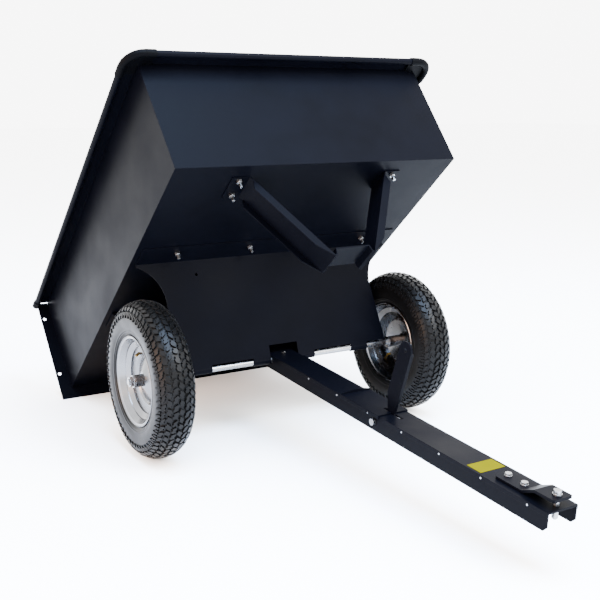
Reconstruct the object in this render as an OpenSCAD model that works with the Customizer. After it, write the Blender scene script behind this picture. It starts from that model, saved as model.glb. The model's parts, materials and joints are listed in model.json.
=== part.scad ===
// Tow-behind dump cart. Millimetres, +Z up, tongue towards -Y, origin on the ground at the
// middle of the cart's outline. The tray is tipped back until its rear edge stands on the ground.

/* [Tray] */
// Length of the tray floor from front to rear
tray_l = 1090; // [960:10:1200]
// Width of the tray floor
tray_w = 811; // [740:1:960]
// Height of the tray walls
wall_h = 307; // [240:1:380]
// Distance from the axle forward to the front edge of the floor
axle_to_front = 518; // [490:1:600]
// Height of the floor's underside above the axle
floor_h = 267; // [255:1:300]
// Outward lean of the front wall over its height
front_lean = 10; // [2:1:30]
// Outward lean of each side wall over its height
side_lean = 3; // [1:1:20]
// Thickness of the tray sheet
tray_t = 1.6; // [1.2:0.1:3]
// Distance from the top of a wall out to the middle of its rolled bead
rim_out = 39; // [30:1:50]
// Diameter of the rolled bead
bead_d = 17; // [14:0.5:20]
// Width of the outward flange around the rear opening
flange_w = 37; // [30:1:45]
// Diameter of the tailgate holes in the rear flange
gate_hole_d = 10; // [6:0.5:12]
// Height of the lower tailgate hole above the floor's underside
gate_hole_z = 51; // [35:1:70]
// Spacing of the two tailgate holes in one flange
gate_hole_pitch = 198; // [100:1:220]

/* [Rim caps] */
// Wall of the moulded corner and end caps
cap_t = 2.2; // [1.5:0.1:3]
// Bend radius of the bead line at the front corners
corner_r = 46; // [35:1:60]
// Straight length of each sleeve of a corner cap
cap_sleeve = 26; // [18:1:40]
// Length of the cap on the rear end of a side bead
end_cap_l = 24; // [16:1:35]
// Gap between the end of a side bead's cap and the rear flange
end_cap_gap = 6; // [3:1:20]

/* [Axle bracket] */
// Slant of the bracket plates from upright, in degrees
bracket_lean = 23; // [18:0.5:26]
// Thickness of the bracket plates
bracket_t = 2.5; // [2:0.1:4]
// Depth of the flange that bolts to the floor
bracket_flange = 70; // [60:1:90]
// Distance of the floor bolts from the bend of the flange
bracket_bolt_y = 42; // [25:1:45]
// Distance of the outer floor bolts from the middle
bracket_bolt_x2 = 288; // [240:1:300]
// Distance of the inner floor bolts from the middle
bracket_bolt_x1 = 75; // [55:1:120]
// Distance of each wing tip in from the edge of the floor
wing_inset = 16; // [8:1:40]
// Radius of the wheel arch cut below each wing
arch_r = 112; // [95:1:115]
// Height of the arch centre above the axle, along the plate
arch_v = 182; // [170:1:190]
// Waist of the plate in from its foot at the arch centre
waist_in = 20; // [10:1:30]
// Gap between the foot of the plate and the tyre
foot_gap = 7; // [6:1:15]
// Distance of the inner edge of each window in the foot from the middle
window_x1 = 97; // [75:1:110]
// Distance of the outer edge of each window from the middle
window_x2 = 221; // [180:1:235]
// Distance of the outer end of the outer axle clasp from the middle
clasp_x2 = 275; // [255:1:300]
// Height of the plate's open lower edge above the axle centre, along the plate
edge_v = 10; // [9:0.5:14]
// Width of the passage for the tongue
passage_w = 88; // [86:1:94]
// Height of the passage above the axle centre, along the plate
passage_v = 40; // [34:1:50]
// Distance of the small service holes from the middle
service_hole_x = 225; // [180:1:240]

/* [Latch stand] */
// Width of the stand strap along the tray
stand_w = 78; // [60:1:84]
// Distance from the axle to the front edge of the stand
stand_front = 478; // [465:1:484]
// Thickness of the stand strap
stand_t = 3; // [2:0.5:4]
// Half width of the recess that sits over the tongue
recess_x = 46; // [45:1:50]
// Height of the recess above the axle
recess_z = 45; // [42:1:60]
// Height of the stand's lowest fold above the axle
fold_z = 26; // [24:1:36]
// Distance from the middle to the top of a leg
leg_x = 200; // [170:1:215]
// Length of each foot
foot_l = 46; // [40:1:55]
// Height of the lips along the edges of the legs
leg_lip = 17; // [8:1:20]
// Spacing of the two bolts in a foot
foot_bolt_pitch = 54; // [36:1:58]

/* [Wheels] */
// Outer diameter of the tyres
wheel_d = 406; // [390:1:420]
// Width of the tyres
tyre_w = 98; // [92:1:106]
// Distance between the wheel centres
track = 792; // [770:1:830]
// Diameter of the wheel rim over its flanges
rim_d = 232; // [220:1:240]
// Width of the wheel rim over its flanges
rim_w = 83; // [78:1:92]
// Depth of the slope from the rim's lip down to its bead seat
rim_slope = 17; // [12:1:20]
// Radius of the foot of the cone in the middle of the wheel disc
disc_cone_r = 60; // [45:1:68]
// Height of the top of that cone above the middle of the wheel
disc_cone_z = 18; // [8:1:24]
// Diameter of the valve stems
valve_d = 7; // [6:0.5:9]
// Length of the valve stem outside the rim well
valve_l = 18; // [12:1:24]
// Diameter of the hub tube
hub_d = 32; // [30:1:38]
// Length of the hub over its bearings
hub_l = 84; // [84:1:96]

/* [Axle] */
// Diameter of the axle
axle_d = 16; // [14:0.5:19]
// Radial running clearance of everything that turns on a shaft
run_gap = 0.05; // [0.02:0.01:0.1]
// Thickness of the axle washers
washer_t = 2.5; // [1.5:0.5:4]
// Length of the spacer inside each wheel
spacer_l = 5; // [3:0.5:5]
// Side clearance of the wheel between its washers
side_gap = 0.3; // [0.2:0.1:1]

/* [Tongue] */
// Length of the tongue ahead of the axle
tongue_l = 1027; // [950:1:1150]
// Width of the tongue
tongue_w = 80; // [70:1:81]
// Height of the tongue
tongue_h = 41; // [36:1:48]
// Height of the tongue's top above the axle centre
tongue_z = 15; // [14:0.5:18]
// Length of the tongue behind the axle
tongue_tail = 24; // [18:1:26]
// Thickness of the channel
channel_t = 2.5; // [2:0.1:3]
// Thickness of the cover strip over the channel
cover_t = 1.5; // [1:0.1:2]
// Depth of the cover strip's side lips
cover_lip = 9; // [8:0.5:14]
// Chamfer on the front lower corners
nose_cut = 10; // [4:1:16]
// Distance of the first rivet from the axle
rivet_y = 195; // [160:1:220]
// Pitch of the rivets
rivet_pitch = 130; // [100:1:130]
// Angle between the tray and the tongue when the tray is fully tipped
stop_angle = 45.2; // [42:0.1:48]

/* [Latch] */
// Distance of the lever pivot ahead of the axle
pivot_y = 480; // [476:1:500]
// Depth of the lever pivot below the axle centre
pivot_drop = 4; // [2:0.5:8]
// Diameter of the pivot bolt
pivot_d = 10; // [8:0.5:12]
// Forward lean of the lever at rest, in degrees
lever_lean = 15.8; // [10:0.1:20]
// Forward travel of the lever, in degrees
lever_travel = 30; // [15:1:30]
// Distance from the pivot to the middle of the rounded top
lever_l = 190; // [150:1:210]
// Width of the lever
lever_w = 42; // [30:1:44]
// Width of the lever below the tongue's top
lever_foot_w = 26; // [22:1:28]
// Thickness of the lever
lever_t = 5; // [3:0.5:6]
// Length of the saddle plate under the stand
saddle_l = 154; // [130:1:160]
// Thickness of the saddle plate
saddle_t = 3; // [2:0.5:4]

/* [Hitch] */
// Width of the hitch strap
strap_w = 50; // [40:1:60]
// Thickness of the hitch strap
strap_t = 6; // [5:0.5:8]
// Length of the flat rear part of the strap
strap_rear = 77; // [70:1:90]
// Height of the gap between strap and tongue
hitch_gap = 15; // [12:0.5:22]
// Run of the bend that lifts the strap
strap_run = 33; // [25:1:45]
// Distance from the front of the strap to the front of the tongue
strap_set_back = 2; // [1:1:20]
// Distance of the hitch pin from the front of the tongue
pin_set_back = 18; // [15:1:24]
// Diameter of the hitch pin
pin_d = 12.7; // [10:0.1:16]
// Spacing of the strap bolts
strap_bolt_pitch = 45; // [30:1:48]
// Length of the plain label along the tongue
label_l = 42; // [20:1:60]
// Width of the plain label across the tongue
label_w = 67; // [30:1:70]

/* [Hidden] */
$fn = 64;
LEFT = -1;
RIGHT = 1;
PAINT = [0.10, 0.11, 0.14];
ZINC = [0.75, 0.77, 0.80];
MOULDED = [0.06, 0.06, 0.07];

// Small overlap that makes cutting tools pass clean through
past = 1;
// Clearance between a bolt and its hole
bolt_gap = 0.25;
// Clearance between parts that only pass each other
pass_gap = 0.3;
// Clearance of a part that slips over or sits on another in the same body
seat_gap = 0.1;
// Thread left standing beyond the nuts of the floor bolts, the hitch bolts and the small bolts
floor_bolt_tail = 13;
hitch_bolt_tail = 4;
small_bolt_tail = 3;
// Radius and height of a rivet's head, and radius of its shank
rivet_head_r = 2.2;
rivet_head_h = 0.8;
rivet_r = 1.6;
// Clearance each side of the lever in its slot, and behind and ahead of its pivot
slot_side = 1.5;
slot_behind = 14;
slot_ahead = 56;
// Depth of the saddle's side lips below the tongue's top and height of its rear lip
saddle_lip = 6;
saddle_rear_lip = 8;

// Places worked out from the sizes above
wheel_r = wheel_d / 2;
axle_r = axle_d / 2;
tray_rear = tray_l - axle_to_front;
tray_top = floor_h + wall_h;
half_w = tray_w / 2;
bead_r = bead_d / 2;
cap_in = bead_r + run_gap;
cap_out = cap_in + cap_t;
bead_z = tray_top - bead_r;
bead_x = half_w + side_lean + rim_out;
bead_y = axle_to_front + front_lean + rim_out;
bead_end_x = bead_x - corner_r - 4;
bead_start_y = bead_y - corner_r - 4;
bead_rear = tray_rear - end_cap_gap - cap_t;
clasp_in = axle_r + run_gap;
clasp_out = clasp_in + bracket_t;
foot_x = track / 2 - tyre_w / 2 - foot_gap;
waist_x = foot_x - waist_in;
wing_x = half_w - wing_inset;
bracket_top_y = (clasp_out + floor_h * sin(bracket_lean)) / cos(bracket_lean);
bolt_line_y = bracket_top_y + bracket_bolt_y;

// The tray tips until its rear flange stands on the ground; the tongue lies at the stop angle
// from the tray, or on the ground if that comes first
flange_low = floor_h - flange_w;
tip = asin(wheel_r / norm([tray_rear, flange_low])) + atan(flange_low / tray_rear);
tongue_low = tongue_h - tongue_z;
ground_pitch = asin(wheel_r / norm([tongue_l - nose_cut, tongue_low]))
    - atan(tongue_low / (tongue_l - nose_cut));
pitch = min(stop_angle - tip, ground_pitch);

// Origin: middle of the outline from the nose of the tongue to the top of the rear flange
front_y = -(tongue_l * cos(pitch) + tongue_z * sin(pitch));
rear_y = tray_rear * cos(tip) + tray_top * sin(tip);
axle_y = -(front_y + rear_y) / 2;

// Bolt sizes: [diameter, head or nut across flats, nut height]
M8 = [8, 13, 6.5];
M10 = [10, 17, 8];
M6 = [6, 10, 5];

module at_axle() translate([0, axle_y, wheel_r]) children();
module in_tray() at_axle() rotate([-tip, 0, 0]) children();
module in_tongue() at_axle() rotate([pitch, 0, 0]) children();

// Left normal of the segment from a to b, mitred normals of a path, and the closed outline of
// a sheet of thickness t bent along path p, on its left side
function left_of(a, b) = let(d = (b - a) / norm(b - a)) [-d.y, d.x];
function mitre(p, i) =
    i == 0 ? left_of(p[0], p[1]) :
    i == len(p) - 1 ? left_of(p[i - 1], p[i]) :
    let(n1 = left_of(p[i - 1], p[i]), n2 = left_of(p[i], p[i + 1]), m = n1 + n2)
    m / (m * n1);
function sheet(p, t) = concat(p, [for (i = [len(p) - 1:-1:0]) p[i] + t * mitre(p, i)]);

// Extrudes a y-z outline along x, centred, and an x-z outline along y from y0 to y1
module along_x(length) rotate([90, 0, 90])
    translate([0, 0, -length / 2]) linear_extrude(length) children();
module along_y(y0, y1) translate([0, y1, 0]) rotate([90, 0, 0])
    linear_extrude(y1 - y0) children();
module bar_x(x0, x1, r) translate([x0, 0, 0]) rotate([0, 90, 0]) cylinder(h = x1 - x0, r = r);

// Everything on the outer side of the leaning left or right wall's outer face
module beyond_wall(side, inset = 0) {
    reach = 2 * tray_w;
    lean = side_lean / wall_h;
    along_y(-tray_l, tray_l) polygon([
        [side * (half_w - inset - floor_h * lean), 0],
        [side * (half_w - inset + (tray_top + wall_h - floor_h) * lean), tray_top + wall_h],
        [side * reach, tray_top + wall_h], [side * reach, 0]]);
}

// Rolled bead: an open-ended tube along the edge of a flange
module bead(length) difference() {
    cylinder(h = length, r = bead_r);
    translate([0, 0, -past]) cylinder(h = length + 2 * past, r = bead_r - tray_t);
}

// ---- Tray ----
module tray_floor() color(PAINT) in_tray() difference() {
    union() {
        translate([-half_w, -axle_to_front, floor_h]) cube([tray_w, tray_l, tray_t]);
        translate([-half_w, tray_rear - tray_t, floor_h - flange_w])
            cube([tray_w, tray_t, flange_w]);
    }
    floor_bolts() translate([0, 0, floor_h - past])
        cylinder(h = tray_t + 2 * past, d = M8[0] + 2 * bolt_gap);
}

module tray_front() color(PAINT) in_tray() {
    y0 = -axle_to_front;
    y1 = y0 - front_lean;
    difference() {
        along_x(2 * tray_w) polygon([[y0, floor_h + tray_t], [y1, tray_top - tray_t],
            [y1 - rim_out, tray_top - tray_t], [y1 - rim_out, tray_top],
            [y1 + tray_t, tray_top], [y0 + tray_t, floor_h + tray_t]]);
        for (side = [LEFT, RIGHT]) {
            beyond_wall(side);
            translate([side * (bead_end_x + tray_w) - tray_w, y1 - 2 * rim_out, bead_z])
                cube([2 * tray_w, 2 * rim_out - past, wall_h]);
        }
        translate([0, -bead_y, bead_z]) bar_x(-tray_w, tray_w, bead_r - tray_t / 2);
    }
    translate([-bead_end_x, -bead_y, bead_z]) rotate([0, 90, 0]) bead(2 * bead_end_x);
}

module tray_side(side) color(PAINT) in_tray() {
    y1 = -axle_to_front - front_lean;
    x_top = half_w + side_lean;
    sx = side;
    difference() {
        union() {
            along_y(-axle_to_front - front_lean, tray_rear) polygon([
                [sx * half_w, floor_h + tray_t], [sx * x_top, tray_top - tray_t],
                [sx * x_top, tray_top], [sx * (x_top - tray_t), tray_top],
                [sx * (half_w - tray_t), floor_h + tray_t]]);
            along_y(-bead_start_y, bead_rear) polygon([
                [sx * (x_top - tray_t), tray_top - tray_t],
                [sx * (x_top - tray_t), tray_top],
                [sx * bead_x, tray_top], [sx * bead_x, tray_top - tray_t]]);
            along_y(tray_rear - tray_t, tray_rear) polygon([
                [sx * half_w, floor_h - flange_w], [sx * half_w, floor_h + tray_t],
                [sx * (x_top - tray_t), tray_top], [sx * (half_w + flange_w), tray_top],
                [sx * (half_w + flange_w), floor_h - flange_w]]);
        }
        along_x(3 * tray_w) polygon([
            [-axle_to_front + tray_t, floor_h], [-axle_to_front + tray_t, floor_h + tray_t],
            [y1 + tray_t, tray_top], [y1 + tray_t, tray_top + past],
            [y1 - tray_l, tray_top + past], [y1 - tray_l, floor_h]]);
        for (z = [gate_hole_z, gate_hole_z + gate_hole_pitch])
            translate([sx * gate_hole_x, tray_rear + past, floor_h + z]) rotate([90, 0, 0])
                cylinder(h = tray_t + 2 * past, d = gate_hole_d);
        translate([sx * bead_x, 0, bead_z]) rotate([90, 0, 0])
            cylinder(h = 2 * tray_l, r = bead_r - tray_t / 2, center = true);
    }
    translate([sx * bead_x, bead_rear, bead_z]) rotate([90, 0, 0])
        bead(bead_rear + bead_start_y);
}
gate_hole_x = half_w + side_lean + (flange_w - side_lean) * 0.66;

// Step in the caps' radius between the bend and its sleeves
cap_step = 0.5;
// Corner cap: two sleeves joined by a quarter bend of the same tube, with slots for the flanges
// that carry the beads and a web that closes the corner between the bend and the walls
module corner_cap(side) color(MOULDED) in_tray()
    translate([side * (bead_x - corner_r), -(bead_y - corner_r), bead_z])
    mirror([side == LEFT ? 1 : 0, 0, 0]) {
        slot_z = bead_r - tray_t - seat_gap;
        difference() {
            union() {
                difference() {
                    rotate([0, 0, -91]) rotate_extrude(angle = 92) translate([corner_r, 0])
                        circle(r = cap_out - cap_step);
                    rotate([0, 0, -95]) rotate_extrude(angle = 100) translate([corner_r, 0])
                        circle(r = cap_in - cap_step);
                }
                sleeve([0, -corner_r, 0], [0, -90, 0]);
                sleeve([corner_r, 0, 0], [-90, 0, 0]);
            }
            translate([-2 * cap_sleeve, -corner_r - pass_gap, slot_z])
                cube([2 * cap_sleeve - 3, corner_r, tray_t + 2 * seat_gap]);
            translate([pass_gap, 3, slot_z])
                cube([corner_r, 2 * cap_sleeve, tray_t + 2 * seat_gap]);
        }
        linear_extrude(cap_t) cap_web(corner_r - (cap_in + cap_out) / 2,
            corner_r - rim_out + 2 * pass_gap);
    }
// Plan of the web: out to radius r, and inside only as far as the walls
module cap_web(r, wall) difference() {
    union() {
        intersection() {
            circle(r = r);
            translate([-1, -r]) square(r + 1);
        }
        translate([1 - cap_sleeve, -r]) square([cap_sleeve - 1, r]);
        translate([1, -1]) square([r - 1, cap_sleeve]);
    }
    translate([wall - tray_w, -wall]) square(tray_w);
}
module sleeve(place, turn) translate(place) rotate(turn) difference() {
    cylinder(h = cap_sleeve, r = cap_out);
    translate([0, 0, -past]) cylinder(h = cap_sleeve + 2 * past, r = cap_in);
}

// Blind cap over the rear end of a side bead
module rim_end_cap(side) color(MOULDED) in_tray()
    translate([side * bead_x, bead_rear + cap_t, bead_z]) rotate([90, 0, 0]) difference() {
        union() {
            cylinder(h = end_cap_l, r = cap_out);
            cylinder(h = end_cap_l / 2, r = cap_out + 0.8);
        }
        translate([0, 0, cap_t]) cylinder(h = end_cap_l, r = cap_in);
        // Slot for the flange that carries the bead
        translate([side == LEFT ? 0 : -2 * cap_out, bead_r - tray_t - 0.1, cap_t])
            cube([2 * cap_out, cap_out, end_cap_l]);
    }

// ---- Axle bracket ----
module floor_bolts() {
    bracket_bolts_at() children();
    stand_bolts_at() children();
}
module bracket_bolts_at() for (y = [-bolt_line_y, bolt_line_y], side = [LEFT, RIGHT],
    x = [bracket_bolt_x1, bracket_bolt_x2]) translate([side * x, y, 0]) children();
module stand_bolts_at() for (side = [LEFT, RIGHT], k = [-0.5, 0.5])
    translate([side * (leg_x + foot_l / 2 + 2), -(stand_front - stand_w / 2)
        + k * foot_bolt_pitch, 0]) children();

// Small step that keeps the faces of joined shapes out of one plane
face_step = 0.3;
// Front plate of the bracket; the rear plate is its mirror image
module bracket_plate() color(PAINT) in_tray() {
    top_v = (floor_h + clasp_out * sin(bracket_lean)) / cos(bracket_lean);
    difference() {
        rotate([bracket_lean, 0, 0]) translate([0, face_step - clasp_out + bracket_t, 0])
            rotate([90, 0, 0]) linear_extrude(bracket_t) plate_outline(top_v + 20);
        translate([-tray_w, -tray_l, floor_h]) cube([2 * tray_w, 2 * tray_l, wall_h]);
        bar_x(-tray_w, tray_w, clasp_in);
        translate([-tray_w, 0, -wall_h]) cube([2 * tray_w, tray_l, 2 * wall_h]);
    }
    difference() {
        translate([face_step - wing_x, -bracket_top_y - bracket_flange, floor_h - bracket_t])
            cube([2 * (wing_x - face_step), bracket_flange + bracket_t / 2, bracket_t]);
        bracket_bolts_at() translate([0, 0, floor_h - bracket_t - past])
            cylinder(h = bracket_t + 2 * past, d = M8[0] + 2 * bolt_gap);
    }
    for (side = [LEFT, RIGHT], span = [[passage_w / 2, window_x1], [window_x2, clasp_x2]])
        clasp(min(side * span[0], side * span[1]) + face_step,
            span[1] - span[0] - 2 * face_step);
}
// Half sleeve that clasps the front of the axle
module clasp(x, length) difference() {
    bar_x(x, x + length, clasp_out);
    bar_x(x - past, x + length + past, clasp_in);
    translate([x - past, 0, -2 * clasp_out])
        cube([length + 2 * past, 2 * clasp_out, 4 * clasp_out]);
    // Open above the line where the sleeve runs into the plate
    rotate([bracket_lean, 0, 0]) translate([x - past, -clasp_out, 3])
        cube([length + 2 * past, 2 * clasp_out, 2 * clasp_out]);
}
module plate_outline(top_v) difference() {
    polygon([[-foot_x, edge_v], [-waist_x, arch_v], [-wing_x, arch_v], [-wing_x, top_v],
        [wing_x, top_v], [wing_x, arch_v], [waist_x, arch_v], [foot_x, edge_v],
        [clasp_x2, edge_v], [clasp_x2, 0], [window_x2, 0], [window_x2, edge_v],
        [window_x1, edge_v], [window_x1, 0], [passage_w / 2, 0],
        [passage_w / 2, passage_v], [-passage_w / 2, passage_v], [-passage_w / 2, 0],
        [-window_x1, 0], [-window_x1, edge_v], [-window_x2, edge_v], [-window_x2, 0],
        [-clasp_x2, 0], [-clasp_x2, edge_v]]);
    for (side = [LEFT, RIGHT]) {
        translate([side * (waist_x + arch_r - face_step), arch_v]) circle(r = arch_r);
        translate([side * service_hole_x, arch_v + 71]) circle(d = 8);
    }
}
module bracket_front() bracket_plate();
module bracket_rear() color(PAINT) in_tray() mirror([0, 1, 0]) rotate([tip, 0, 0])
    translate([0, -axle_y, -wheel_r]) bracket_plate();

// Carriage bolt down through the floor and what it holds, and its nut underneath
module floor_bolt(clamped) color(ZINC) {
    grip = clamped + M8[2] + floor_bolt_tail;
    translate([0, 0, floor_h - grip]) cylinder(h = grip + tray_t, d = M8[0]);
    translate([0, 0, floor_h + tray_t]) intersection() {
        translate([0, 0, -8.5]) sphere(r = 13);
        cylinder(h = 6, d = 19);
    }
}
module hex_nut(size) difference() {
    cylinder(h = size[2], d = size[1] / cos(30), $fn = 6);
    translate([0, 0, -past]) cylinder(h = size[2] + 2 * past, d = size[0]);
}
module bracket_bolts() in_tray() bracket_bolts_at() floor_bolt(bracket_t);
module bracket_nuts() color(ZINC) in_tray() bracket_bolts_at()
    translate([0, 0, floor_h - bracket_t - M8[2]]) hex_nut(M8);
module stand_bolts() in_tray() stand_bolts_at() floor_bolt(stand_t);
module stand_nuts() color(ZINC) in_tray() stand_bolts_at()
    translate([0, 0, floor_h - stand_t - M8[2]]) hex_nut(M8);

// ---- Latch stand ----
function stand_path() = let(f = floor_h - stand_t, fx = recess_x + 12) [
    [-(leg_x + foot_l), f], [-leg_x, f], [-fx, fold_z], [-(recess_x + 4), fold_z + 4],
    [-recess_x, recess_z], [recess_x, recess_z], [recess_x + 4, fold_z + 4],
    [fx, fold_z], [leg_x, f], [leg_x + foot_l, f]];
module latch_stand() color(PAINT) in_tray() {
    y0 = -stand_front;
    y1 = y0 + stand_w;
    top = [-leg_x, floor_h - stand_t];
    low = [-(recess_x + 12), fold_z];
    run = norm(top - low);
    slope = atan2(low.y - top.y, low.x - top.x);
    difference() {
        along_y(y0, y1) polygon(sheet(stand_path(), stand_t));
        stand_bolts_at() translate([0, 0, floor_h - stand_t - past])
            cylinder(h = stand_t + 2 * past, d = M8[0] + 2 * bolt_gap);
    }
    // Lips on the outer side of both legs, tapered at their ends
    for (side = [LEFT, RIGHT], y = [y0, y1 - stand_t])
        mirror([side == LEFT ? 0 : 1, 0, 0]) along_y(y, y + stand_t)
            translate(top) rotate(slope) polygon([[12, 0], [12 + leg_lip, -leg_lip],
                [run - 3.2 * leg_lip, -leg_lip], [run - 4, 0]]);
}

// ---- Axle and its hardware ----
hub_in = track / 2 - hub_l / 2 - side_gap;
hub_out = track / 2 + hub_l / 2 + side_gap;
axle_nut_h = 9;
axle_end = hub_out + washer_t + axle_nut_h + 3;
module both_ends(x) for (side = [LEFT, RIGHT])
    translate([side == LEFT ? -x[1] : x[0], 0, 0]) children();
module ring_x(length, r_out, r_in) difference() {
    bar_x(0, length, r_out);
    bar_x(-past, length + past, r_in);
}
module axle() color(ZINC) in_tongue() difference() {
    bar_x(-axle_end, axle_end, axle_r);
    cylinder(h = 4 * axle_d, d = M6[0], center = true);
}
module axle_spacers() color(ZINC) in_tongue()
    both_ends([hub_in - washer_t - spacer_l, hub_in - washer_t]) ring_x(spacer_l, 11, axle_r);
module axle_washers() color(ZINC) in_tongue() {
    both_ends([hub_in - washer_t, hub_in]) ring_x(washer_t, 16, axle_r);
    both_ends([hub_out, hub_out + washer_t]) ring_x(washer_t, 16, axle_r);
}
module axle_nuts() color(ZINC) in_tongue()
    both_ends([hub_out + washer_t, hub_out + washer_t + axle_nut_h]) rotate([0, 90, 0])
        hex_nut([axle_d, 1.5 * axle_d, axle_nut_h]);
module axle_lock_bolt() color(ZINC) in_tongue() {
    low = -axle_r - M6[2] - small_bolt_tail;
    translate([0, 0, low]) cylinder(h = tongue_z - low, d = M6[0]);
    translate([0, 0, tongue_z]) cylinder(h = 4, d = M6[1] / cos(30), $fn = 6);
}
module axle_lock_nut() color(ZINC) in_tongue() translate([0, 0, -axle_r - M6[2]]) hex_nut(M6);

// ---- Tongue ----
channel_x = tongue_w / 2 - cover_t;
channel_z = tongue_z - cover_t;
pin_y = -(tongue_l - pin_set_back);
strap_y = -(tongue_l - strap_set_back);
strap_back = strap_y + strap_rear + strap_run + 50;
slot_back = slot_behind - pivot_y;
slot_front = -pivot_y - slot_ahead;
// Slot the lever swings in
module lever_slot() translate([-lever_t / 2 - slot_side, slot_front, 0])
    cube([lever_t + 2 * slot_side, slot_back - slot_front, tongue_z + saddle_t + past]);
// Holes for the lever, its pivot, the hitch pin, the strap bolts and the axle
module tongue_holes() {
    lever_slot();
    translate([0, -pivot_y, -pivot_drop]) bar_x(-tongue_w, tongue_w, pivot_d / 2);
    translate([0, pin_y, 0]) cylinder(h = tongue_z + past, d = pin_d + 2 * pass_gap);
    strap_bolts_at() cylinder(h = tongue_z + past, d = M8[0]);
    cylinder(h = tongue_z + past, d = M6[0]);
    bar_x(-tongue_w, tongue_w, axle_r);
    rivets_at() bar_x(-past, cover_t + channel_t + past, rivet_r);
}
module strap_bolts_at() for (k = [-0.5, 0.5])
    translate([0, strap_back - strap_rear / 2 + k * strap_bolt_pitch + 1, 0]) children();
rivet_count = floor((tongue_l - rivet_y - nose_cut) / rivet_pitch);
rivet_z = tongue_z - cover_lip * 2 / 3;
module rivets_at() for (side = [LEFT, RIGHT], i = [0:rivet_count])
    translate([side * tongue_w / 2, -(rivet_y + i * rivet_pitch), rivet_z])
        mirror([side == LEFT ? 0 : 1, 0, 0]) children();
// Cuts the lower front corners off the side walls
module nose_cutter() along_x(2 * tongue_w) polygon([
    [-tongue_l - past, tongue_z - tongue_h + nose_cut + past],
    [-tongue_l + nose_cut + past, tongue_z - tongue_h - past],
    [-tongue_l - past, tongue_z - tongue_h - past]]);

module tongue_channel() color(PAINT) in_tongue() difference() {
    low = tongue_z - tongue_h;
    along_y(-tongue_l, tongue_tail) polygon(sheet([[channel_x, low],
        [channel_x, channel_z], [-channel_x, channel_z], [-channel_x, low]], channel_t));
    tongue_holes();
    nose_cutter();
}
module tongue_cover() color(PAINT) in_tongue() difference() {
    low = tongue_z - cover_lip;
    along_y(-tongue_l, -passage_w / 2) polygon(sheet([[tongue_w / 2, low],
        [tongue_w / 2, tongue_z], [-tongue_w / 2, tongue_z], [-tongue_w / 2, low]], cover_t));
    tongue_holes();
}
module tongue_rivets() color(ZINC) in_tongue() rivets_at() {
    bar_x(-rivet_head_h, 0, rivet_head_r);
    bar_x(0, cover_t + channel_t, rivet_r);
}
module tongue_label() color("gold") in_tongue()
    translate([-label_w / 2, strap_back + 28, tongue_z]) cube([label_w, label_l, pass_gap]);

// ---- Latch ----
saddle_front = -pivot_y - 20;
saddle_back = saddle_front + saddle_l;
saddle_x = tongue_w / 2 + saddle_t;
module latch_saddle() color(PAINT) in_tongue() {
    low = tongue_z - saddle_lip;
    difference() {
        along_y(saddle_front, saddle_back) polygon(sheet([[-saddle_x, low],
            [-saddle_x, tongue_z + saddle_t], [saddle_x, tongue_z + saddle_t],
            [saddle_x, low]], -saddle_t));
        lever_slot();
        for (side = [LEFT, RIGHT], i = [0:rivet_count])
            translate([side * saddle_x, -(rivet_y + i * rivet_pitch), rivet_z])
                bar_x(-2 * saddle_t, 2 * saddle_t, 2 * rivet_head_r);
    }
    // Raised rear lip with rounded ends
    lip_z = saddle_t + saddle_rear_lip;
    translate([0, saddle_back, tongue_z]) rotate([90, 0, 0]) linear_extrude(saddle_t)
        intersection() {
            translate([-saddle_x, 0]) square([2 * saddle_x, lip_z]);
            translate([0, lip_z - 4 * saddle_x]) circle(r = 4 * saddle_x, $fn = 200);
        }
}

stand_sweep = norm([stand_front, recess_z + stand_t]) + 1;
lever_foot_r = lever_foot_w / 2;
module latch_lever() color(PAINT) in_tongue() difference() {
    translate([0, -pivot_y, -pivot_drop]) rotate([lever_lean, 0, 0]) {
        // Blade with rounded ends
        along_x(lever_t) difference() {
            union() {
                translate([-lever_w / 2, 0]) square([lever_w, lever_l]);
                translate([0, lever_l]) circle(d = lever_w);
                circle(r = lever_foot_r);
            }
            translate([0, lever_l]) circle(d = pivot_d);
        }
        // Stiffening flange along the front edge
        translate([lever_t / 2, -lever_w / 2, 60]) cube([4, 3, lever_l - 60]);
        // Pivot tube
        bar_x(-14, 14, pivot_d / 2 + 3.5);
    }
    translate([0, -pivot_y, -pivot_drop]) bar_x(-tongue_w, tongue_w, pivot_d / 2 + run_gap);
    // Clear of the stand, which swings past behind the lever
    intersection() {
        bar_x(-tongue_w, tongue_w, stand_sweep);
        translate([-tongue_w, -2 * pivot_y, channel_z - channel_t])
            cube([2 * tongue_w, 2 * pivot_y, wall_h]);
    }
    lever_waist();
}
// Below the slot the blade is no wider than its round foot
module lever_waist() translate([-tongue_w, -pivot_y, -pivot_drop]) difference() {
    translate([0, -lever_w, -lever_w])
        cube([2 * tongue_w, 2 * lever_w, lever_w + channel_z - channel_t + pivot_drop]);
    rotate([0, 90, 0]) cylinder(h = 2 * tongue_w, r = lever_foot_r);
    rotate([lever_lean, 0, 0]) translate([0, -lever_foot_r, 0])
        cube([2 * tongue_w, lever_foot_w, lever_l]);
}
module latch_pivot_bolt() color(ZINC) in_tongue() translate([0, -pivot_y, -pivot_drop]) {
    bar_x(-tongue_w / 2 - 7, -channel_x, 8);
    bar_x(-channel_x, channel_x + M10[2] + small_bolt_tail, pivot_d / 2);
}
module latch_pivot_nut() color(ZINC) in_tongue() translate([channel_x, -pivot_y, -pivot_drop])
    rotate([0, 90, 0]) hex_nut([pivot_d, M10[1], M10[2]]);

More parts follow.
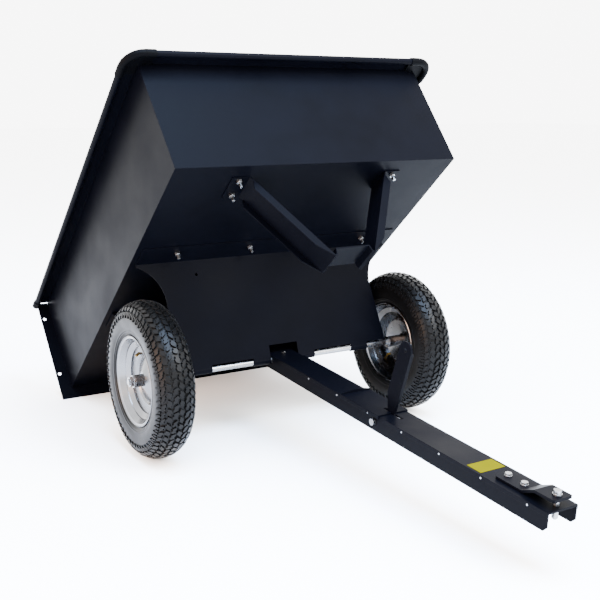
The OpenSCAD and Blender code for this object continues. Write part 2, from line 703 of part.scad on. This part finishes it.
// Torsion spring round the pivot bolt: a straight leg, the coil and a second leg
spring_wire = 2.4;
spring_r = pivot_d / 2 + 3;
spring_x = 16.5;
spring_pitch = 2.9;
spring_turns = floor((channel_x - channel_t - 5 - spring_x) / spring_pitch + 0.01);
function spring_route() = let(n = 14, s = spring_pitch, x0 = spring_x, a0 = 60) concat(
    [[x0, spring_r * cos(a0) - 22 * sin(a0), spring_r * sin(a0) + 22 * cos(a0) - 14]],
    [for (i = [0:n * spring_turns]) let(a = a0 - 360 * i / n)
        [x0 + s * i / n, spring_r * cos(a), spring_r * sin(a)]],
    [[x0 + s * spring_turns, spring_r * cos(a0) + 20, spring_r * sin(a0) - 12]]);
// Closed tube of n sides swept along a route of points
function heading(p, i) = let(a = p[max(i - 1, 0)], b = p[min(i + 1, len(p) - 1)])
    (b - a) / norm(b - a);
function tube_ring(p, i, r, n) = let(t = heading(p, i), u = cross(t, [1, 0.13, 0]),
    v = u / norm(u), w = cross(t, v)) [for (k = [0:n - 1])
        p[i] + r * (cos(360 * k / n) * v + sin(360 * k / n) * w)];
module tube(p, r, n) polyhedron(
    points = [for (i = [0:len(p) - 1]) each tube_ring(p, i, r, n)],
    faces = concat([[for (k = [0:n - 1]) k]],
        [for (i = [0:len(p) - 2], k = [0:n - 1])
            [i * n + k, (i + 1) * n + k, (i + 1) * n + (k + 1) % n, i * n + (k + 1) % n]],
        [[for (k = [n - 1:-1:0]) (len(p) - 1) * n + k]]));
module latch_spring() color(ZINC) in_tongue() translate([0, -pivot_y, -pivot_drop])
    tube(spring_route(), spring_wire / 2, 8);

// ---- Hitch ----
module hitch_strap() color(PAINT) in_tongue() {
    up = tongue_z + hitch_gap;
    bend = strap_back - strap_rear;
    difference() {
        intersection() {
            along_x(strap_w) polygon(sheet([[strap_y, up], [bend - strap_run, up],
                [bend, tongue_z], [strap_back, tongue_z]], strap_t));
            strap_plan();
        }
        translate([0, pin_y, tongue_z]) cylinder(h = 60, d = pin_d + 2 * pass_gap);
        strap_bolts_at() cylinder(h = 60, d = M8[0] + 2 * bolt_gap);
    }
}
// Plan of the strap, with rounded front corners and clipped rear corners
module strap_plan() linear_extrude(100) difference() {
    r = 4;
    x = strap_w / 2;
    union() {
        translate([-x, strap_y + r]) square([strap_w, strap_back - strap_y - r]);
        translate([-x + r, strap_y]) square([strap_w - 2 * r, 2 * r]);
        for (side = [LEFT, RIGHT]) translate([side * (x - r), strap_y + r]) circle(r = r);
    }
    for (side = [LEFT, RIGHT]) translate([side * x, strap_back]) rotate(45)
        square(9, center = true);
}
module hitch_bolts() color(ZINC) in_tongue() strap_bolts_at() {
    low = channel_z - channel_t - M8[2] - hitch_bolt_tail;
    translate([0, 0, low]) cylinder(h = tongue_z + strap_t - low, d = M8[0]);
    translate([0, 0, tongue_z + strap_t]) {
        cylinder(h = 5.3, d = M8[1] / cos(30), $fn = 6);
        cylinder(h = 1.2, d = 2 * M8[0]);
    }
}
module hitch_nuts() color(ZINC) in_tongue() strap_bolts_at()
    translate([0, 0, channel_z - channel_t - M8[2]]) hex_nut(M8);
module hitch_pin() color(ZINC) in_tongue() translate([0, pin_y, 0]) difference() {
    top = tongue_z + hitch_gap + strap_t;
    tail = tongue_z - 26;
    union() {
        translate([0, 0, tail]) cylinder(h = top - tail, d = pin_d);
        translate([0, 0, tail - 3]) cylinder(h = 3, d1 = pin_d - 5, d2 = pin_d);
        translate([0, 0, top]) cylinder(h = 3, d = pin_d + 6);
        translate([0, 0, top + 3]) cylinder(h = 7, d = pin_d + 3);
    }
    // Cross hole for a retaining clip
    translate([0, 0, tail + 5]) rotate([0, 90, 0]) cylinder(h = 40, d = 3.5, center = true);
}

// ---- Wheels ----
module at_wheel(side) in_tongue() translate([side * track / 2, 0, 0])
    mirror([side == LEFT ? 1 : 0, 0, 0]) rotate([0, 90, 0]) children();
seat_r = rim_d / 2 - 15;
rim_t = 2;
lip_w = 4;
lip_low = rim_d / 2 - 6;
tyre_wall = 9;
tread_wall = 13;
// Tyre outline from crown to bead, a fraction f of the way, then the whole closed outline
function tyre_at(f, wide, low, high) = let(a = 90 - f * 180)
    [(low + high) / 2 + (high - low) / 2 * sign(sin(a)) * pow(abs(sin(a)), 0.88),
     wide * pow(abs(cos(a)), 0.82)];
function tyre_outline(wide, low, high, n) = concat(
    [for (i = [0:n]) tyre_at(i / n, wide, low, high)],
    [for (i = [n:-1:0]) let(p = tyre_at(i / n, wide, low, high)) [p.x, -p.y]]);
module tyre(side) color(MOULDED) at_wheel(side) difference() {
    bead_w = rim_w / 2 - lip_w - seat_gap;
    steep = (lip_low - seat_r - 1) / (rim_slope - lip_w);
    union() {
        rotate_extrude($fn = 96) intersection() {
            polygon(tyre_outline(tyre_w / 2, seat_r - 12, wheel_r, 14));
            translate([rim_d / 2 + pass_gap, -tyre_w]) square([wheel_r, 2 * tyre_w]);
        }
        tyre_ring(seat_r + 1.1, rim_d / 2 + 2, bead_w);
    }
    tyre_ring(seat_r, rim_d / 2 + 12, bead_w - tyre_wall);
    // Bead seated on the slope of the rim
    for (end = [0, 1]) mirror([0, 0, end]) translate([0, 0, rim_w / 2 - rim_slope - past])
        cylinder(h = rim_slope - lip_w + 2 * past, r1 = seat_r + 1 + seat_gap - past * steep,
            r2 = lip_low + seat_gap + past * steep);
    rotate_extrude($fn = 96)
        polygon(tyre_outline(tyre_w / 2 - tyre_wall, rim_d / 2 - 6, wheel_r - tread_wall, 10));
}
module tyre_ring(r0, r1, w) difference() {
    cylinder(h = 2 * w, r = r1, center = true);
    cylinder(h = 2 * w + 2 * past, r = r0, center = true);
}

module wheel_rim(side) color(ZINC) at_wheel(side) difference() {
    e = rim_w / 2;
    lip = rim_d / 2;
    half = [[lip, e], [lip - 1.5, e - 2.5], [lip_low, e - lip_w], [seat_r + 1, e - rim_slope],
        [seat_r, e - rim_slope - 3], [seat_r - 13, e - rim_slope - 11]];
    union() {
        rotate_extrude($fn = 96) polygon(sheet(concat(half,
            [for (i = [len(half) - 1:-1:0]) [half[i].x, -half[i].y]]), -rim_t));
        // Disc: a shallow bowl with a raised cone round the hub
        rotate_extrude($fn = 96) polygon(sheet([[seat_r - 14, 11], [disc_cone_r + 5, 7],
            [disc_cone_r, 3], [hub_d / 2 + 4, disc_cone_z], [hub_d / 2, disc_cone_z]],
            rim_t + 0.5));
    }
    valve(side, valve_d / 2 + run_gap);
}
hub_wall = 3;
module hub(side) color(ZINC) at_wheel(side) difference() {
    cylinder(h = hub_l - 4, d = hub_d, center = true);
    cylinder(h = hub_l, d = hub_d - 2 * hub_wall, center = true);
}
module bearings(side) color(ZINC) at_wheel(side) for (end = [0, 1])
    mirror([0, 0, end]) translate([0, 0, hub_l / 2 - 14]) difference() {
        union() {
            cylinder(h = 12, d = hub_d - 2 * hub_wall);
            translate([0, 0, 12]) cylinder(h = 2, d = hub_d);
        }
        translate([0, 0, -past]) cylinder(h = 16, r = axle_r + run_gap);
    }
// Valve stem: from the rim well in towards the hub, then bent outward through the disc
module valve(side, r) rotate([0, 0, side == LEFT ? 140 : 40]) translate([seat_r - 25, 0, 3]) {
    rotate([0, 90, 0]) cylinder(h = 14, r = r - 2 * pass_gap);
    rotate([0, -32, 0]) translate([0, 0, -r]) cylinder(h = valve_l + r, r = r);
}
module valve_stem(side) color("goldenrod") at_wheel(side) valve(side, valve_d / 2);

tray_floor();
tray_front();
tray_side(LEFT);  // tray_side_left
tray_side(RIGHT);  // tray_side_right
corner_cap(LEFT);  // corner_cap_left
corner_cap(RIGHT);  // corner_cap_right
rim_end_cap(LEFT);  // rim_end_cap_left
rim_end_cap(RIGHT);  // rim_end_cap_right
bracket_front();
bracket_rear();
bracket_bolts();
bracket_nuts();
latch_stand();
stand_bolts();
stand_nuts();
axle();
axle_spacers();
axle_washers();
axle_nuts();
axle_lock_bolt();
axle_lock_nut();
tongue_channel();
tongue_cover();
tongue_rivets();
tongue_label();
latch_saddle();
latch_lever();
latch_pivot_bolt();
latch_pivot_nut();
latch_spring();
hitch_strap();
hitch_bolts();
hitch_nuts();
hitch_pin();
tyre(LEFT);  // tyre_left
tyre(RIGHT);  // tyre_right
wheel_rim(LEFT);  // wheel_rim_left
wheel_rim(RIGHT);  // wheel_rim_right
hub(LEFT);  // hub_left
hub(RIGHT);  // hub_right
bearings(LEFT);  // bearings_left
bearings(RIGHT);  // bearings_right
valve_stem(LEFT);  // valve_stem_left
valve_stem(RIGHT);  // valve_stem_right
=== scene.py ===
import json
import math
import random
import bpy
import numpy as np
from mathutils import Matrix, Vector


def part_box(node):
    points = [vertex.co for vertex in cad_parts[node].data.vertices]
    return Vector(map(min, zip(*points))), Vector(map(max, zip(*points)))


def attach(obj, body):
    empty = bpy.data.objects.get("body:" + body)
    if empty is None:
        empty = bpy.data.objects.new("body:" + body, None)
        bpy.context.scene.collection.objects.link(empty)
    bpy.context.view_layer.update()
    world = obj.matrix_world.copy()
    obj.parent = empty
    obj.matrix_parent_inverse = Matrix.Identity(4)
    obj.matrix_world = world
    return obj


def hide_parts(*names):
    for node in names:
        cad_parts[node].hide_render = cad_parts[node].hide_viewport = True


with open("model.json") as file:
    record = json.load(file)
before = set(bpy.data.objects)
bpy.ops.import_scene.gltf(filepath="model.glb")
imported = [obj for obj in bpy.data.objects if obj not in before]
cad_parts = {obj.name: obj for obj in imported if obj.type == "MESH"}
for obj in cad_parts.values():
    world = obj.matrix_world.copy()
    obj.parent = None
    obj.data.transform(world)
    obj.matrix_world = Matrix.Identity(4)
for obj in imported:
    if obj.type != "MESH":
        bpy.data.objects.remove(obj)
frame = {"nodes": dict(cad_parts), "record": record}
NODES, RECORD = frame["nodes"], frame["record"]
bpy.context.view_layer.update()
scene = bpy.context.scene
rng = random.Random(7)

# ---- Materials ----
# Noise values between which one tone gives way to the next, for soft patches and for dust spots
PATCH_FADE, DUST_FADE = (0.3, 0.7), (0.5, 0.75)
DUST_FINER = 14  # times finer than the patches
ROUGH_SPREAD = 0.06  # either way from a finish's roughness
GRAIN_DEPTH, EDGE_ROUND = 0.0004, 0.0008  # metres
# Sockets of a Mix node that mixes colours
MIX_FACTOR, MIX_A, MIX_B, MIX_RESULT = 0, 6, 7, 2


def shader(name):
    """A new material, its main node, and short ways to add a node and to join two."""
    mat = bpy.data.materials.new(name)
    mat.use_nodes = True
    tree = mat.node_tree

    def add(kind, **values):
        """A node of a kind. A value sets the input of that name, or else the node's setting."""
        node = tree.nodes.new(kind)
        for key, value in values.items():
            if key in node.inputs:
                node.inputs[key].default_value = value
            else:
                setattr(node, key, value)
        return node

    return mat, tree.nodes["Principled BSDF"], add, tree.links.new


def ramp(add, link, source, fade, a, b):
    """Maps the source from the two values of fade to a..b."""
    node = add("ShaderNodeMapRange")
    for key, value in zip(("From Min", "From Max", "To Min", "To Max"), (*fade, a, b)):
        node.inputs[key].default_value = value
    link(source, node.inputs["Value"])
    return node.outputs["Result"]


def colour_mix(add, link, factor, a, b):
    """Goes from a to b as the factor goes from 0 to 1. Each is a colour or another node's output."""
    node = add("ShaderNodeMix", data_type="RGBA")
    link(factor, node.inputs[MIX_FACTOR])
    for socket, value in ((MIX_A, a), (MIX_B, b)):
        if isinstance(value, tuple):
            node.inputs[socket].default_value = (*value, 1)
        else:
            link(value, node.inputs[socket])
    return node.outputs[MIX_RESULT]


def surface(name, base, rough, grain, metal=0.0, spec=0.5, bump=0.1, vary=0.12, patch=9.0,
            dust=None):
    """A finish with fine grain in its bump, soft patches in its colour and roughness, and a rounded
    look on its edges. Dust is a colour and how much of it lies in the spots."""
    mat, bsdf, add, link = shader(name)
    place = add("ShaderNodeTexCoord").outputs["Object"]

    def noise(scale, detail, roughness):
        node = add("ShaderNodeTexNoise", Scale=scale, Detail=detail, Roughness=roughness)
        link(place, node.inputs["Vector"])
        return node.outputs["Fac"]

    broad = noise(patch, 5.0, 0.55)
    dark = tuple(c * (1 - vary) for c in base)
    light = tuple(min(1, c * (1 + vary)) for c in base)
    tint = colour_mix(add, link, ramp(add, link, broad, PATCH_FADE, 0, 1), dark, light)
    if dust:
        spots = ramp(add, link, noise(patch * DUST_FINER, 8.0, 0.7), DUST_FADE, 0, dust[1])
        tint = colour_mix(add, link, spots, tint, dust[0])
    link(tint, bsdf.inputs["Base Color"])
    link(ramp(add, link, broad, PATCH_FADE, rough - ROUGH_SPREAD, rough + ROUGH_SPREAD),
         bsdf.inputs["Roughness"])
    bsdf.inputs["Metallic"].default_value = metal
    bsdf.inputs["Specular IOR Level"].default_value = spec
    relief = add("ShaderNodeBump", Strength=bump, Distance=GRAIN_DEPTH)
    link(noise(grain, 3.0, 0.6), relief.inputs["Height"])
    edge = add("ShaderNodeBevel", samples=4, Radius=EDGE_ROUND)
    link(edge.outputs["Normal"], relief.inputs["Normal"])
    link(relief.outputs["Normal"], bsdf.inputs["Normal"])
    return mat


# The finish of each material slot. The world is bright enough to turn the paper white, so the
# colours are darker, and the dark finishes reflect less, than the real ones.
FINISHES = {
    "powder_coat": dict(base=(0.00052, 0.00062, 0.00125), rough=0.42, grain=900, spec=0.011,
                        vary=0.15),
    "zinc_plate": dict(base=(0.175, 0.178, 0.182), rough=0.27, grain=700, metal=1.0, bump=0.15,
                       vary=0.1, patch=60),
    "rim_silver": dict(base=(0.098, 0.100, 0.105), rough=0.24, grain=1100, metal=1.0, bump=0.08,
                       vary=0.1, patch=22),
    "bearing_steel": dict(base=(0.12, 0.12, 0.125), rough=0.28, grain=600, metal=1.0, patch=80),
    "valve_brass": dict(base=(0.13, 0.08, 0.018), rough=0.35, grain=600, metal=1.0, patch=90),
    "tyre_rubber": dict(base=(0.00105, 0.00105, 0.00110), rough=0.36, grain=650, spec=0.055,
                        bump=0.3, vary=0.25, patch=25, dust=((0.0028, 0.0028, 0.0028), 0.3)),
    "moulded_plastic": dict(base=(0.00032, 0.00038, 0.00060), rough=0.5, grain=800, spec=0.012,
                            bump=0.2, vary=0.1),
    "label": dict(base=(0.052, 0.046, 0.0), rough=0.8, grain=300, spec=0.0, bump=0.03, vary=0.04,
                  patch=30),
}
LOOKS = {slot: surface(slot, **finish) for slot, finish in FINISHES.items()}
for row in RECORD["subparts"]:
    mesh = NODES[row["node"]].data
    mesh.materials.clear()
    mesh.materials.append(LOOKS[row["material_slot"]])

SHARP_ANGLE = 0.5  # radians; an edge that bends more than this stays sharp


def piece(name, verts, faces, body, slot):
    """A smooth mesh object in the given slot's look that moves with a body."""
    mesh = bpy.data.meshes.new(name)
    mesh.from_pydata([tuple(v) for v in verts], [], faces)
    mesh.validate()
    mesh.update()
    obj = bpy.data.objects.new(name, mesh)
    scene.collection.objects.link(obj)
    mesh.materials.append(LOOKS[slot])
    mesh.polygons.foreach_set("use_smooth", [True] * len(mesh.polygons))
    mesh.set_sharp_from_angle(angle=SHARP_ANGLE)
    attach(obj, body)
    return obj


# ---- Tyres: a revolved carcass with moulded rings, and separate tread blocks ----
# Metres. The carcass, from the middle of its crown to the rim:
GROOVE = 0.0068  # depth below the tyre's outer radius
CROWN_R = 0.152  # radius where the rounded crown ends, and the tyre is widest
WIDTH_SLACK = 0.0008  # inside the CAD tyre's width on each side
CROWN_POWERS = (0.94, 0.88)  # of cos and sin: under 1 is squarer than an ellipse
WALL_END_R, WALL_IN, WALL_POWER = 0.1175, 0.0085, 2.4  # the wall curves in towards the rim's lip
BEAD = ((0.1135, 0.0115), (0.108, 0.0135))  # radius, and how far in, behind the lip
CROWN_STEPS, WALL_STEPS = 60, 21
RINGS_R, RING_H, RING_WIDTH = (0.1755, 0.129, 0.1235), 0.0011, 0.0013  # moulded on the walls
RINGS_FROM = 0.05  # no ring nearer than this to the middle of the crown
AROUND, ACROSS = 144, 74  # steps of the carcass's mesh: whole turn, and middle to bead
NEAR = 0.001  # step over which the surface's slope is taken
# The crown's blocks and, over each shoulder, twice as many bars as a row has blocks:
ROWS, COUNT, PITCH = 7, 60, 0.0140  # rows, blocks in each, and the distance between rows
BLOCK_FOOT, DRAFT = -0.0008, 0.0006  # a foot sunk in the carcass, and the rounding on top
# Half a crown block's S-shaped outline: parts of its half length and lean, and of its half width
HALF_OUTLINE = ((-1, 1, -1), (-0.15, 1, -1.25), (0.35, 1, -0.70), (1, 1, -0.85), (1.1, 0, 0))
BLOCK_LONG, BLOCK_WIDE = (0.29, 0.38), (0.33, 0.42)  # half sizes, as parts of step and pitch
BLOCK_LEAN, BLOCK_TURN, BLOCK_SHIFT = 0.0030, 0.0015, 0.0012
BLOCK_DOWN, BLOCK_WEAR = 0.0002, 0.0008  # a top lies this far below the outer radius, or more
FALL, FALL_OVER = 0.0009, 0.04  # this much lower for each such distance from the middle
BAR_FROM, BAR_TO, BAR_H = 0.0006, (0.0095, 0.016), 0.0036  # short and long bars in turn
BAR_WIDE, BAR_TAPER, BAR_SKEW = 0.16, 0.8, 0.003


class Tyre:
    """Surface of a tyre: u runs round it and s across it from the middle of the crown, in metres,
    and h lifts off it."""

    def __init__(self, centre, radius, half):
        self.centre = centre
        self.crown = radius - GROOVE
        pts = []
        for i in range(CROWN_STEPS + 1):
            a = math.pi / 2 * i / CROWN_STEPS
            pts.append((CROWN_R + (self.crown - CROWN_R) * math.cos(a) ** CROWN_POWERS[0],
                        (half - WIDTH_SLACK) * math.sin(a) ** CROWN_POWERS[1]))
        r1, w1 = pts[-1]
        for i in range(1, WALL_STEPS + 1):
            t = i / WALL_STEPS
            pts.append((r1 + (WALL_END_R - r1) * t, w1 - WALL_IN * t ** WALL_POWER))
        pts += [(r, w1 - inward) for r, inward in BEAD]
        self.r = np.array([p[0] for p in pts])
        self.w = np.array([p[1] for p in pts])
        seg = np.hypot(np.diff(self.r), np.diff(self.w))
        self.s = np.concatenate([[0], np.cumsum(seg)])
        self.around = 2 * math.pi * self.crown

    def profile(self, s):
        """Radius, and distance from the middle plane, at s."""
        return np.interp(s, self.s, self.r), np.interp(s, self.s, self.w)

    def at(self, u, s, h):
        """The point in space of a place on the tyre."""
        side = 1 if s >= 0 else -1
        a = abs(s)
        r, w = self.profile(a)
        if a < NEAR:
            dr, dw = 0.0, 1.0
        else:
            (r1, w1), (r0, w0) = self.profile(a + NEAR), self.profile(a - NEAR)
            dr, dw = r1 - r0, w1 - w0
        n = math.hypot(dr, dw)
        r, w = r + h * dw / n, w - h * dr / n
        t = u / self.crown
        x, y, z = self.centre
        return (x + side * w, y + r * math.sin(t), z + r * math.cos(t))


def carcass(tyre):
    """The tyre without its blocks."""
    half = []
    for s in np.linspace(0, tyre.s[-1], ACROSS):
        r = float(np.interp(s, tyre.s, tyre.r))
        h = sum(RING_H * math.exp(-((r - m) / RING_WIDTH) ** 2) for m in RINGS_R)
        half.append((s, h if s > RINGS_FROM else 0.0))
    line = [(-s, h) for s, h in half[::-1]] + half[1:]
    verts = [tyre.at(tyre.around * i / AROUND, s, h) for i in range(AROUND) for s, h in line]
    n = len(line)
    faces = []
    for i in range(AROUND):
        for k in range(n - 1):
            a, b = i * n + k, ((i + 1) % AROUND) * n + k
            faces.append((a, b, b + 1, a + 1))
    return verts, faces


def blocks(tyre):
    """Staggered S-shaped blocks over the crown and bars over the shoulders."""
    verts, faces = [], []
    step = tyre.around / COUNT

    def block(outline, height):
        """One block from its outline in (u, s) at the foot. It is slightly smaller on top."""
        n = len(outline)
        cu = sum(p[0] for p in outline) / n
        cs = sum(p[1] for p in outline) / n
        k = len(verts)
        for level, shrink in ((BLOCK_FOOT, 0.0), (height - DRAFT, DRAFT / 2), (height, DRAFT)):
            for u, s in outline:
                d = math.hypot(u - cu, s - cs)
                f = (d - shrink) / d
                verts.append(tyre.at(cu + (u - cu) * f, cs + (s - cs) * f, level))
        for low in (k, k + n):
            for i in range(n):
                j = (i + 1) % n
                faces.append((low + i, low + j, low + n + j, low + n + i))
        faces.append(tuple(k + 2 * n + i for i in range(n)))

    for row in range(ROWS):
        s0 = (row - (ROWS - 1) / 2) * PITCH
        shift = (row % 2) * 0.5 * step
        lean = 1 if row % 2 else -1
        for i in range(COUNT):
            u0 = i * step + shift + rng.uniform(-BLOCK_SHIFT, BLOCK_SHIFT)
            a, b = step * rng.uniform(*BLOCK_LONG), PITCH * rng.uniform(*BLOCK_WIDE)
            z = (BLOCK_LEAN + rng.uniform(-BLOCK_TURN, BLOCK_TURN)) * lean
            half = [(ka * a + kz * z, kb * b) for ka, kz, kb in HALF_OUTLINE]
            height = GROOVE - BLOCK_DOWN - FALL * abs(s0) / FALL_OVER - rng.uniform(0, BLOCK_WEAR)
            block([(u0 + sign * u, s0 + sign * s) for sign in (1, -1) for u, s in half], height)
    edge = ROWS / 2 * PITCH
    wide = step * BAR_WIDE
    for side in (-1, 1):
        skew = BAR_SKEW * side
        near = side * (edge + BAR_FROM)
        for i in range(COUNT * 2):
            u0 = (i + 0.25) * step / 2
            far = edge + BAR_TO[i % 2]
            middle = side * (edge + far) / 2
            block([(u0 - wide, near), (u0 + wide, near), (u0 + wide + skew / 2, middle),
                   (u0 + wide * BAR_TAPER + skew, side * far),
                   (u0 - wide * BAR_TAPER + skew, side * far), (u0 - wide + skew / 2, middle)],
                  BAR_H)
    return verts, faces


for side in ("left", "right"):
    low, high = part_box("tyre_" + side)
    tyre = Tyre((low + high) / 2, (high.z - low.z) / 2, (high.x - low.x) / 2)
    body = "wheel_" + side
    v1, f1 = carcass(tyre)
    v2, f2 = blocks(tyre)
    n = len(v1)
    obj = piece("tyre_tread_" + side, v1 + v2, f1 + [tuple(i + n for i in f) for f in f2], body,
                "tyre_rubber")
    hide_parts("tyre_" + side)

# ---- Stage, light and camera ----
FLOOR = 40  # half its width, in metres
PAPER = 0.95
WORLD_STRENGTH = 8.0
# Name, place, what it points at, size, power and colour
LIGHTS = [
    ("key_light", (1.6, -3.6, 3.6), (0, 0, 0.4), (2.2, 2.2), 800, (1, 1, 1)),
    ("left_light", (-4.2, -0.6, 1.4), (-0.3, 0.2, 0.4), (2.6, 2.4), 480, (1.0, 0.56, 0.32)),
    ("top_light", (0.0, -1.6, 4.4), (0, 0, 0.6), (3.0, 3.0), 1900, (0.46, 0.66, 1.0)),
]
LENS, SENSOR = 57.09, 36
CAMERA_FROM_AXLE = (-1.2875, -2.185, 0.8776)  # x and z from the frame's origin, y from the axle
CAMERA_TURN, CAMERA_DIP = math.radians(-31.54), math.radians(11.41)


def point(obj, place, ahead):
    """Links a light or the camera, puts it in its place and points it."""
    scene.collection.objects.link(obj)
    obj.location = place
    obj.rotation_euler = ahead.to_track_quat("-Z", "Y").to_euler()


mesh = bpy.data.meshes.new("floor")
mesh.from_pydata([(-FLOOR, -FLOOR, 0), (FLOOR, -FLOOR, 0), (FLOOR, FLOOR, 0), (-FLOOR, FLOOR, 0)],
                 [], [(0, 1, 2, 3)])
floor = bpy.data.objects.new("floor", mesh)
scene.collection.objects.link(floor)
paper, bsdf, *_ = shader("floor_paper")
bsdf.inputs["Base Color"].default_value = (PAPER, PAPER, PAPER, 1)
bsdf.inputs["Roughness"].default_value = 1.0
bsdf.inputs["Specular IOR Level"].default_value = 0.0
mesh.materials.append(paper)

world = bpy.data.worlds.new("studio")
scene.world = world
world.use_nodes = True
background = world.node_tree.nodes["Background"]
background.inputs["Color"].default_value = (1, 1, 1, 1)
background.inputs["Strength"].default_value = WORLD_STRENGTH

for name, place, target, size, power, colour in LIGHTS:
    data = bpy.data.lights.new(name, "AREA")
    data.shape = "RECTANGLE"
    data.size, data.size_y = size
    data.energy = power
    data.color = colour
    point(bpy.data.objects.new(name, data), place, Vector(target) - Vector(place))

axle_y = (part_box("axle")[0].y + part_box("axle")[1].y) / 2
cam_data = bpy.data.cameras.new("camera")
cam_data.lens, cam_data.sensor_width = LENS, SENSOR
camera = bpy.data.objects.new("camera", cam_data)
x, y, z = CAMERA_FROM_AXLE
point(camera, (x, y + axle_y, z),
      Vector((-math.sin(CAMERA_TURN) * math.cos(CAMERA_DIP),
              math.cos(CAMERA_TURN) * math.cos(CAMERA_DIP), -math.sin(CAMERA_DIP))))
scene.camera = camera
